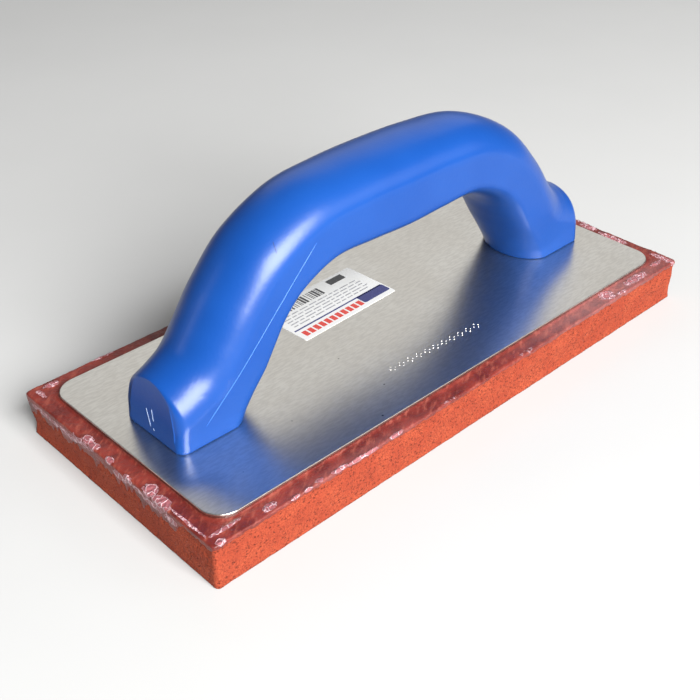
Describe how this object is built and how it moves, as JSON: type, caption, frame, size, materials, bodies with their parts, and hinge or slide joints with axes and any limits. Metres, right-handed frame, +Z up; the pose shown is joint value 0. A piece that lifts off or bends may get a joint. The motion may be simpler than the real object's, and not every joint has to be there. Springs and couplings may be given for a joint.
{
  "type": "rubber float",
  "caption": "Hand float with a coarse sponge rubber pad cemented under a metal backing plate and a moulded bow handle, for finishing mortar and concrete.",
  "frame": {"origin": "middle of the pad's working face, which is the lowest face of the float", "axes": "+X along the float from the front foot to the rear foot, +Y across it, +Z up from the working face to the grip"},
  "size_m": [0.2286, 0.1016, 0.0866],
  "materials": {
    "sponge_rubber": "coarse open cells, matt",
    "contact_cement": "dried film, glossy, wrinkled and torn along its edge",
    "plate_metal": "satin rolled sheet",
    "handle_plastic": "semi-gloss moulding",
    "screw_steel": "zinc plated",
    "label_paper": "coated paper sticker"
  },
  "bodies": {
    "root": {"rubber_pad": "sponge_rubber", "cement_film": "contact_cement", "backing_plate": "plate_metal", "handle": "handle_plastic", "screw_front_outer": "screw_steel", "screw_front_inner": "screw_steel", "screw_rear_inner": "screw_steel", "screw_rear_outer": "screw_steel", "label": "label_paper"}
  },
  "joints": []
}
